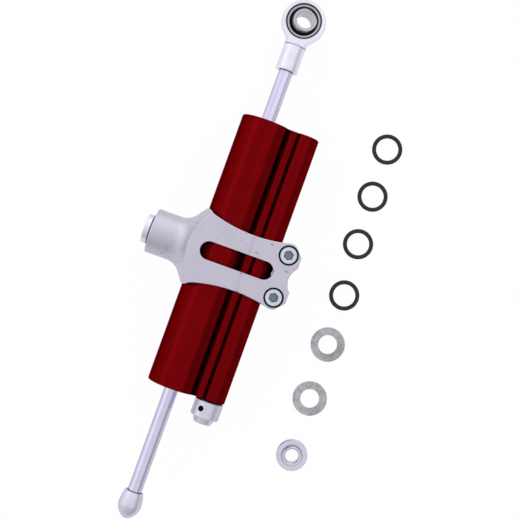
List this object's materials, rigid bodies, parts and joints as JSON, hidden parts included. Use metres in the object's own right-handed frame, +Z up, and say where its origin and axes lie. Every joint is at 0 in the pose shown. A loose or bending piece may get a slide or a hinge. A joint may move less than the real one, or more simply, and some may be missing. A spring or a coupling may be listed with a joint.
{
  "type": "motorcycle steering damper",
  "caption": "Twin-tube hydraulic steering damper with through rod, rod-end eye, radial ball-joint clamp, adjuster knob and loose fitting kit",
  "frame": {"origin": "centre of the spherical bearing in the clamp's boss, where the frame bolt goes through", "axes": "+X along the rod towards its eye, +Y out of the clamp's boss along the frame bolt, +Z up, away from the clamp face that it lies on"},
  "size_m": [0.3096, 0.1321, 0.038],
  "materials": {
    "red_anodised": "polished, dark red anodised",
    "clamp_silver": "satin silver anodised",
    "eye_silver": "bright satin anodised",
    "cap_silver": "satin turned",
    "knob_silver": "satin turned",
    "sleeve_silver": "turned",
    "spacer_silver": "satin turned",
    "end_silver": "turned",
    "guide_silver": "turned",
    "rod_chrome": "hard chromed and polished",
    "bearing_steel": "ground",
    "screw_steel": "zinc plated",
    "washer_steel": "tumbled",
    "spring_steel": "phosphated",
    "grub_black": "blackened",
    "brass": "turned",
    "bronze": "sintered",
    "band_plastic": "filled, smooth",
    "black_rubber": "smooth"
  },
  "bodies": {
    "clamp": {"clamp_bracket": "clamp_silver", "clamp_screws": "screw_steel", "clamp_bearing_race": "bearing_steel", "clamp_circlip": "spring_steel", "kit_o_rings": "black_rubber", "kit_washers": "washer_steel", "kit_spacer": "spacer_silver"},
    "clamp_ball": {"clamp_ball": "bearing_steel"},
    "clamp_sleeve": {"clamp_sleeve": "sleeve_silver"},
    "barrel": {"barrel_body": "red_anodised", "rod_guide_eye_end": "guide_silver", "rod_bush_eye_end": "bronze", "rod_seal_eye_end": "black_rubber", "rod_wiper_eye_end": "black_rubber", "guide_o_ring_eye_end": "black_rubber", "retaining_ring_eye_end": "spring_steel", "rod_guide_cap_end": "guide_silver", "rod_bush_cap_end": "bronze", "rod_seal_cap_end": "black_rubber", "rod_wiper_cap_end": "black_rubber", "guide_o_ring_cap_end": "black_rubber", "retaining_ring_cap_end": "spring_steel", "reservoir_plug": "end_silver", "plug_o_ring": "black_rubber", "valve_seat": "brass", "valve_housing": "end_silver", "valve_housing_ring": "black_rubber", "spindle_o_ring": "black_rubber", "click_ball": "bearing_steel", "click_spring": "spring_steel"},
    "band": {"piston_band": "band_plastic", "piston_band_ring": "black_rubber"},
    "rod": {"rod_shaft": "rod_chrome", "piston": "end_silver", "piston_clips": "spring_steel", "rod_end_eye": "eye_silver", "eye_bearing_race": "bearing_steel", "end_cap": "cap_silver"},
    "eye_ball": {"eye_ball": "bearing_steel"},
    "adjuster": {"adjuster_knob": "knob_silver", "adjuster_spindle": "bearing_steel", "knob_grub_screw": "grub_black"},
    "needle": {"adjuster_needle": "brass"},
    "floating_piston": {"floating_piston": "end_silver", "floating_piston_ring": "black_rubber"}
  },
  "joints": [
    {"name": "clamp_ball_tilt", "type": "hinge", "parent": "clamp", "child": "clamp_ball", "pos_m": [0, 0, 0], "axis": [0, 0, 1], "range_deg": [-10, 10]},
    {"name": "clamp_sleeve_spin", "type": "hinge", "parent": "clamp_ball", "child": "clamp_sleeve", "pos_m": [0, 0, 0], "axis": [0, 1, 0], "continuous": true},
    {"name": "barrel_shift", "type": "slide", "parent": "clamp", "child": "barrel", "axis": [1, 0, 0], "range_m": [-0.05, 0.05]},
    {"name": "rod_stroke", "type": "slide", "parent": "barrel", "child": "band", "axis": [1, 0, 0], "range_m": [-0.029, 0.061]},
    {"name": "rod_spin", "type": "hinge", "parent": "band", "child": "rod", "pos_m": [0, -0.03575, 0], "axis": [1, 0, 0], "continuous": true},
    {"name": "eye_ball_tilt", "type": "hinge", "parent": "rod", "child": "eye_ball", "pos_m": [0.1396, -0.03575, 0], "axis": [0.5299, 0.848, 0], "range_deg": [-26, 0]},
    {"name": "knob_turn", "type": "hinge", "parent": "barrel", "child": "adjuster", "pos_m": [-0.0845, -0.05835, 0], "axis": [1, 0, 0], "range_deg": [-165, 165]},
    {"name": "needle_travel", "type": "slide", "parent": "barrel", "child": "needle", "axis": [1, 0, 0], "range_m": [-0.0005, 0.0005]},
    {"name": "floating_piston_travel", "type": "slide", "parent": "barrel", "child": "floating_piston", "axis": [1, 0, 0], "range_m": [-0.0025, 0.0025]}
  ],
  "couplings": [
    {"joint": "needle_travel", "follows": "knob_turn", "m_per_rad": 0.00015915}
  ]
}
